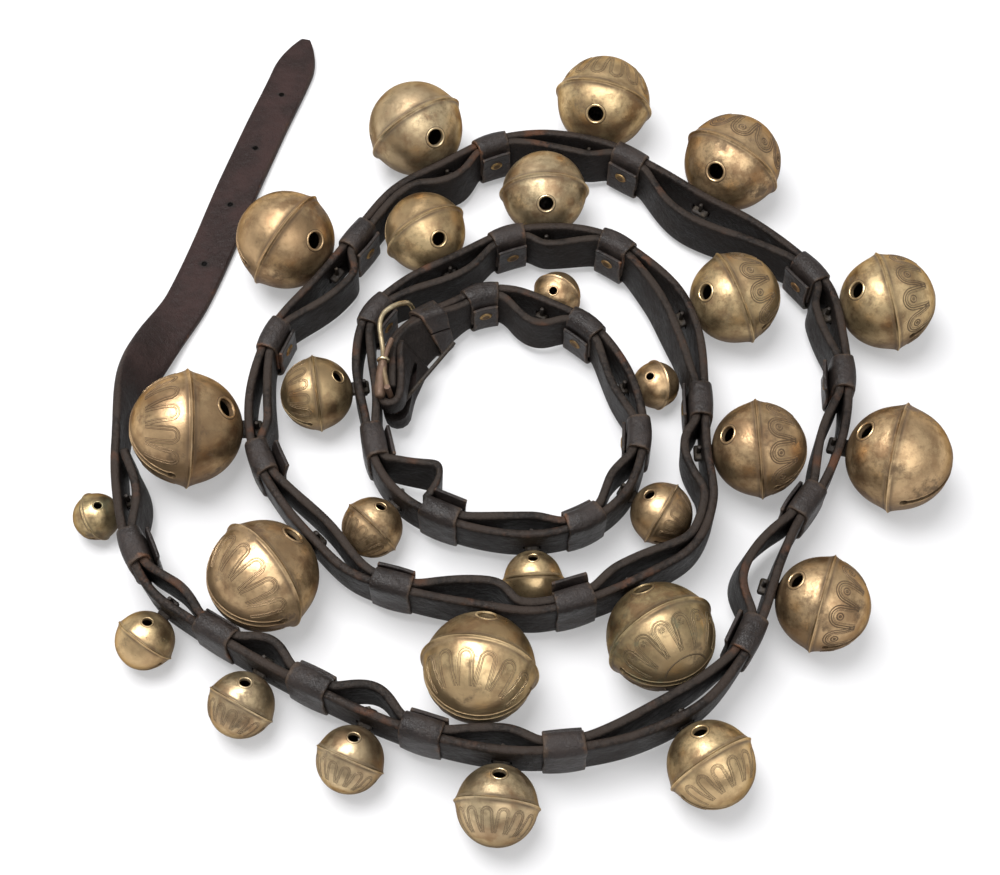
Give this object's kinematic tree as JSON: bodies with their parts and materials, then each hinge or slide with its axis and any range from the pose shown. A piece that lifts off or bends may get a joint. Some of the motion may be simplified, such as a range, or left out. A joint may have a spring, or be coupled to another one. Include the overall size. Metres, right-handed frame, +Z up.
{
  "type": "harness bell strap",
  "caption": "Doubled leather harness strap coiled on its edge, with graded round crotal bells pinned along the outside, leather keepers, a pointed billet and a wire buckle.",
  "frame": {"origin": "on the table under the middle of the coil's footprint, billet included", "axes": "+Z up from the table, +Y away from the viewer of the picture towards the billet tip, +X to the viewer's right"},
  "size_m": [0.458, 0.5096, 0.0577],
  "materials": {
    "harness_leather": "old oiled dark brown leather, worn to lighter brown at its edges",
    "bell_brass": "aged bell brass, brown patina in the hollows and dull gold on the high parts",
    "clapper_iron": "dark rusty iron pea",
    "buckle_brass": "pale worn brass wire",
    "tongue_iron": "rusty brown iron"
  },
  "bodies": {
    "strap": {"base_strap": "harness_leather", "buckle_chape": "harness_leather", "lining_with_keepers": "harness_leather", "billet_loop": "harness_leather"},
    "buckle_frame": {"buckle_frame": "buckle_brass"},
    "buckle_tongue": {"buckle_tongue": "tongue_iron"},
    "bell_01": {"bell_01": "bell_brass"},
    "clapper_01": {"clapper_01": "clapper_iron"},
    "bell_02": {"bell_02": "bell_brass"},
    "clapper_02": {"clapper_02": "clapper_iron"},
    "bell_03": {"bell_03": "bell_brass"},
    "clapper_03": {"clapper_03": "clapper_iron"},
    "bell_04": {"bell_04": "bell_brass"},
    "clapper_04": {"clapper_04": "clapper_iron"},
    "bell_05": {"bell_05": "bell_brass"},
    "clapper_05": {"clapper_05": "clapper_iron"},
    "bell_06": {"bell_06": "bell_brass"},
    "clapper_06": {"clapper_06": "clapper_iron"},
    "bell_07": {"bell_07": "bell_brass"},
    "clapper_07": {"clapper_07": "clapper_iron"},
    "bell_08": {"bell_08": "bell_brass"},
    "clapper_08": {"clapper_08": "clapper_iron"},
    "bell_09": {"bell_09": "bell_brass"},
    "clapper_09": {"clapper_09": "clapper_iron"},
    "bell_10": {"bell_10": "bell_brass"},
    "clapper_10": {"clapper_10": "clapper_iron"},
    "bell_11": {"bell_11": "bell_brass"},
    "clapper_11": {"clapper_11": "clapper_iron"},
    "bell_12": {"bell_12": "bell_brass"},
    "clapper_12": {"clapper_12": "clapper_iron"},
    "bell_13": {"bell_13": "bell_brass"},
    "clapper_13": {"clapper_13": "clapper_iron"},
    "bell_14": {"bell_14": "bell_brass"},
    "clapper_14": {"clapper_14": "clapper_iron"},
    "bell_15": {"bell_15": "bell_brass"},
    "clapper_15": {"clapper_15": "clapper_iron"},
    "bell_16": {"bell_16": "bell_brass"},
    "clapper_16": {"clapper_16": "clapper_iron"},
    "bell_17": {"bell_17": "bell_brass"},
    "clapper_17": {"clapper_17": "clapper_iron"},
    "bell_18": {"bell_18": "bell_brass"},
    "clapper_18": {"clapper_18": "clapper_iron"},
    "bell_19": {"bell_19": "bell_brass"},
    "clapper_19": {"clapper_19": "clapper_iron"},
    "bell_20": {"bell_20": "bell_brass"},
    "clapper_20": {"clapper_20": "clapper_iron"},
    "bell_21": {"bell_21": "bell_brass"},
    "clapper_21": {"clapper_21": "clapper_iron"},
    "bell_22": {"bell_22": "bell_brass"},
    "clapper_22": {"clapper_22": "clapper_iron"},
    "bell_23": {"bell_23": "bell_brass"},
    "clapper_23": {"clapper_23": "clapper_iron"},
    "bell_24": {"bell_24": "bell_brass"},
    "clapper_24": {"clapper_24": "clapper_iron"},
    "bell_25": {"bell_25": "bell_brass"},
    "clapper_25": {"clapper_25": "clapper_iron"},
    "bell_26": {"bell_26": "bell_brass"},
    "clapper_26": {"clapper_26": "clapper_iron"},
    "bell_27": {"bell_27": "bell_brass"},
    "clapper_27": {"clapper_27": "clapper_iron"}
  },
  "joints": [
    {"name": "buckle_frame_fold", "type": "hinge", "parent": "strap", "child": "buckle_frame", "pos_m": [-0.06462, -0.02451, 0.02259], "axis": [-0.1375, 0.0218, 0.9903], "range_deg": [0, 4]},
    {"name": "buckle_tongue_swing", "type": "hinge", "parent": "buckle_frame", "child": "buckle_tongue", "pos_m": [-0.06462, -0.02451, 0.02259], "axis": [0.1375, -0.0218, -0.9903], "range_deg": [0, 45]},
    {"name": "bell_01_rock", "type": "hinge", "parent": "strap", "child": "bell_01", "pos_m": [-0.19915, -0.0796, 0.01995], "axis": [0, 0, 1], "range_deg": [-6, 6]},
    {"name": "clapper_01_roll", "type": "hinge", "parent": "bell_01", "child": "clapper_01", "pos_m": [-0.21716, -0.08383, 0.01132], "axis": [-0.8823, -0.2072, -0.4227], "continuous": true},
    {"name": "bell_02_rock", "type": "hinge", "parent": "strap", "child": "bell_02", "pos_m": [-0.17079, -0.13645, 0.02095], "axis": [0, 0, 1], "range_deg": [-6, 6]},
    {"name": "clapper_02_roll", "type": "hinge", "parent": "bell_02", "child": "clapper_02", "pos_m": [-0.18374, -0.15299, 0.01431], "axis": [-0.5878, -0.7507, -0.3014], "continuous": true},
    {"name": "bell_03_rock", "type": "hinge", "parent": "strap", "child": "bell_03", "pos_m": [-0.12215, -0.167, 0.02148], "axis": [0, 0, 1], "range_deg": [-6, 6]},
    {"name": "clapper_03_roll", "type": "hinge", "parent": "bell_03", "child": "clapper_03", "pos_m": [-0.13318, -0.18661, 0.01606], "axis": [-0.4769, -0.8473, -0.2339], "continuous": true},
    {"name": "bell_04_rock", "type": "hinge", "parent": "strap", "child": "bell_04", "pos_m": [-0.07065, -0.19282, 0.02192], "axis": [0, 0, 1], "range_deg": [-6, 6]},
    {"name": "clapper_04_roll", "type": "hinge", "parent": "bell_04", "child": "clapper_04", "pos_m": [-0.07957, -0.21348, 0.01597], "axis": [-0.3833, -0.8876, -0.2555], "continuous": true},
    {"name": "bell_05_rock", "type": "hinge", "parent": "strap", "child": "bell_05", "pos_m": [-0.0075, -0.21085, 0.022], "axis": [0, 0, 1], "range_deg": [-6, 6]},
    {"name": "clapper_05_roll", "type": "hinge", "parent": "bell_05", "child": "clapper_05", "pos_m": [-0.01013, -0.23621, 0.01945], "axis": [-0.1027, -0.9897, -0.0995], "continuous": true},
    {"name": "bell_06_rock", "type": "hinge", "parent": "strap", "child": "bell_06", "pos_m": [0.0763, -0.19394, 0.02193], "axis": [0, 0, 1], "range_deg": [-6, 6]},
    {"name": "clapper_06_roll", "type": "hinge", "parent": "bell_06", "child": "clapper_06", "pos_m": [0.08993, -0.21754, 0.02131], "axis": [0.5, -0.8657, -0.0231], "continuous": true},
    {"name": "bell_07_rock", "type": "hinge", "parent": "strap", "child": "bell_07", "pos_m": [0.12208, -0.12726, 0.02077], "axis": [0, 0, 1], "range_deg": [-6, 6]},
    {"name": "clapper_07_roll", "type": "hinge", "parent": "bell_07", "child": "clapper_07", "pos_m": [0.14999, -0.13757, 0.02372], "axis": [0.9335, -0.3448, 0.0987], "continuous": true},
    {"name": "bell_08_rock", "type": "hinge", "parent": "strap", "child": "bell_08", "pos_m": [0.16527, -0.0465, 0.01939], "axis": [0, 0, 1], "range_deg": [-6, 6]},
    {"name": "clapper_08_roll", "type": "hinge", "parent": "bell_08", "child": "clapper_08", "pos_m": [0.19684, -0.05772, 0.02694], "axis": [0.9192, -0.3266, 0.2199], "continuous": true},
    {"name": "bell_09_rock", "type": "hinge", "parent": "strap", "child": "bell_09", "pos_m": [0.17141, 0.03599, 0.01795], "axis": [0, 0, 1], "range_deg": [-6, 6]},
    {"name": "clapper_09_roll", "type": "hinge", "parent": "bell_09", "child": "clapper_09", "pos_m": [0.20339, 0.04014, 0.02564], "axis": [0.9647, 0.1252, 0.2318], "continuous": true},
    {"name": "bell_10_rock", "type": "hinge", "parent": "strap", "child": "bell_10", "pos_m": [0.10618, 0.10791, 0.01668], "axis": [0, 0, 1], "range_deg": [-6, 6]},
    {"name": "clapper_10_roll", "type": "hinge", "parent": "bell_10", "child": "clapper_10", "pos_m": [0.12562, 0.13612, 0.02713], "axis": [0.5427, 0.7876, 0.2919], "continuous": true},
    {"name": "bell_11_rock", "type": "hinge", "parent": "strap", "child": "bell_11", "pos_m": [0.04328, 0.1495, 0.0162], "axis": [0, 0, 1], "range_deg": [-6, 6]},
    {"name": "clapper_11_roll", "type": "hinge", "parent": "bell_11", "child": "clapper_11", "pos_m": [0.05268, 0.18192, 0.02662], "axis": [0.266, 0.9177, 0.2951], "continuous": true},
    {"name": "bell_12_rock", "type": "hinge", "parent": "strap", "child": "bell_12", "pos_m": [-0.03943, 0.13321, 0.01625], "axis": [0, 0, 1], "range_deg": [-6, 6]},
    {"name": "clapper_12_roll", "type": "hinge", "parent": "bell_12", "child": "clapper_12", "pos_m": [-0.05805, 0.16165, 0.02685], "axis": [-0.523, 0.7987, 0.2975], "continuous": true},
    {"name": "bell_13_rock", "type": "hinge", "parent": "strap", "child": "bell_13", "pos_m": [-0.09997, 0.06305, 0.01747], "axis": [0, 0, 1], "range_deg": [-6, 6]},
    {"name": "clapper_13_roll", "type": "hinge", "parent": "bell_13", "child": "clapper_13", "pos_m": [-0.12889, 0.08093, 0.02706], "axis": [-0.8187, 0.5059, 0.2716], "continuous": true},
    {"name": "bell_14_rock", "type": "hinge", "parent": "strap", "child": "bell_14", "pos_m": [-0.13642, -0.03661, 0.01921], "axis": [0, 0, 1], "range_deg": [-6, 6]},
    {"name": "clapper_14_roll", "type": "hinge", "parent": "bell_14", "child": "clapper_14", "pos_m": [-0.17183, -0.0415, 0.02885], "axis": [-0.9564, -0.1321, 0.2605], "continuous": true},
    {"name": "bell_15_rock", "type": "hinge", "parent": "strap", "child": "bell_15", "pos_m": [-0.10068, -0.10096, 0.02034], "axis": [0, 0, 1], "range_deg": [-6, 6]},
    {"name": "clapper_15_roll", "type": "hinge", "parent": "bell_15", "child": "clapper_15", "pos_m": [-0.12583, -0.12421, 0.02773], "axis": [-0.7176, -0.6637, 0.211], "continuous": true},
    {"name": "bell_16_rock", "type": "hinge", "parent": "strap", "child": "bell_16", "pos_m": [-0.01274, -0.13896, 0.021], "axis": [0, 0, 1], "range_deg": [-6, 6]},
    {"name": "clapper_16_roll", "type": "hinge", "parent": "bell_16", "child": "clapper_16", "pos_m": [-0.01859, -0.17195, 0.02716], "axis": [-0.1718, -0.9684, 0.1807], "continuous": true},
    {"name": "bell_17_rock", "type": "hinge", "parent": "strap", "child": "bell_17", "pos_m": [0.05412, -0.12622, 0.02078], "axis": [0, 0, 1], "range_deg": [-6, 6]},
    {"name": "clapper_17_roll", "type": "hinge", "parent": "bell_17", "child": "clapper_17", "pos_m": [0.06896, -0.1557, 0.02669], "axis": [0.4427, -0.8792, 0.1761], "continuous": true},
    {"name": "bell_18_rock", "type": "hinge", "parent": "strap", "child": "bell_18", "pos_m": [0.09471, -0.05115, 0.01945], "axis": [0, 0, 1], "range_deg": [-6, 6]},
    {"name": "clapper_18_roll", "type": "hinge", "parent": "bell_18", "child": "clapper_18", "pos_m": [0.12571, -0.05137, 0.02474], "axis": [0.9857, -0.0071, 0.1682], "continuous": true},
    {"name": "bell_19_rock", "type": "hinge", "parent": "strap", "child": "bell_19", "pos_m": [0.09067, 0.03307, 0.01799], "axis": [0, 0, 1], "range_deg": [-6, 6]},
    {"name": "clapper_19_roll", "type": "hinge", "parent": "bell_19", "child": "clapper_19", "pos_m": [0.12022, 0.04324, 0.02477], "axis": [0.9241, 0.3179, 0.212], "continuous": true},
    {"name": "bell_20_rock", "type": "hinge", "parent": "strap", "child": "bell_20", "pos_m": [0.01741, 0.08586, 0.01705], "axis": [0, 0, 1], "range_deg": [-6, 6]},
    {"name": "clapper_20_roll", "type": "hinge", "parent": "bell_20", "child": "clapper_20", "pos_m": [0.01657, 0.11635, 0.02398], "axis": [-0.0271, 0.9748, 0.2215], "continuous": true},
    {"name": "bell_21_rock", "type": "hinge", "parent": "strap", "child": "bell_21", "pos_m": [-0.03657, 0.0637, 0.01744], "axis": [0, 0, 1], "range_deg": [-6, 6]},
    {"name": "clapper_21_roll", "type": "hinge", "parent": "bell_21", "child": "clapper_21", "pos_m": [-0.05105, 0.08911, 0.02293], "axis": [-0.4865, 0.854, 0.1845], "continuous": true},
    {"name": "bell_22_rock", "type": "hinge", "parent": "strap", "child": "bell_22", "pos_m": [-0.08125, -0.01051, 0.01876], "axis": [0, 0, 1], "range_deg": [-6, 6]},
    {"name": "clapper_22_roll", "type": "hinge", "parent": "bell_22", "child": "clapper_22", "pos_m": [-0.10663, -0.01489, 0.01978], "axis": [-0.9847, -0.1699, 0.0396], "continuous": true},
    {"name": "bell_23_rock", "type": "hinge", "parent": "strap", "child": "bell_23", "pos_m": [-0.05862, -0.07648, 0.01992], "axis": [0, 0, 1], "range_deg": [-6, 6]},
    {"name": "clapper_23_roll", "type": "hinge", "parent": "bell_23", "child": "clapper_23", "pos_m": [-0.07415, -0.09206, 0.01573], "axis": [-0.6937, -0.6956, -0.1869], "continuous": true},
    {"name": "bell_24_rock", "type": "hinge", "parent": "strap", "child": "bell_24", "pos_m": [0.00704, -0.09937, 0.02033], "axis": [0, 0, 1], "range_deg": [-6, 6]},
    {"name": "clapper_24_roll", "type": "hinge", "parent": "bell_24", "child": "clapper_24", "pos_m": [0.00787, -0.12035, 0.01445], "axis": [0.0382, -0.9623, -0.2694], "continuous": true},
    {"name": "bell_25_rock", "type": "hinge", "parent": "strap", "child": "bell_25", "pos_m": [0.05449, -0.07339, 0.01986], "axis": [0, 0, 1], "range_deg": [-6, 6]},
    {"name": "clapper_25_roll", "type": "hinge", "parent": "bell_25", "child": "clapper_25", "pos_m": [0.07409, -0.08444, 0.01632], "axis": [0.8604, -0.4854, -0.1552], "continuous": true},
    {"name": "bell_26_rock", "type": "hinge", "parent": "strap", "child": "bell_26", "pos_m": [0.05765, -0.01125, 0.01875], "axis": [0, 0, 1], "range_deg": [-6, 6]},
    {"name": "clapper_26_roll", "type": "hinge", "parent": "bell_26", "child": "clapper_26", "pos_m": [0.07564, -0.00514, 0.0123], "axis": [0.8967, 0.3046, -0.3212], "continuous": true},
    {"name": "bell_27_rock", "type": "hinge", "parent": "strap", "child": "bell_27", "pos_m": [0.01426, 0.03577, 0.01791], "axis": [0, 0, 1], "range_deg": [-6, 6]},
    {"name": "clapper_27_roll", "type": "hinge", "parent": "bell_27", "child": "clapper_27", "pos_m": [0.0231, 0.05315, 0.0131], "axis": [0.4406, 0.8652, -0.2394], "continuous": true}
  ]
}
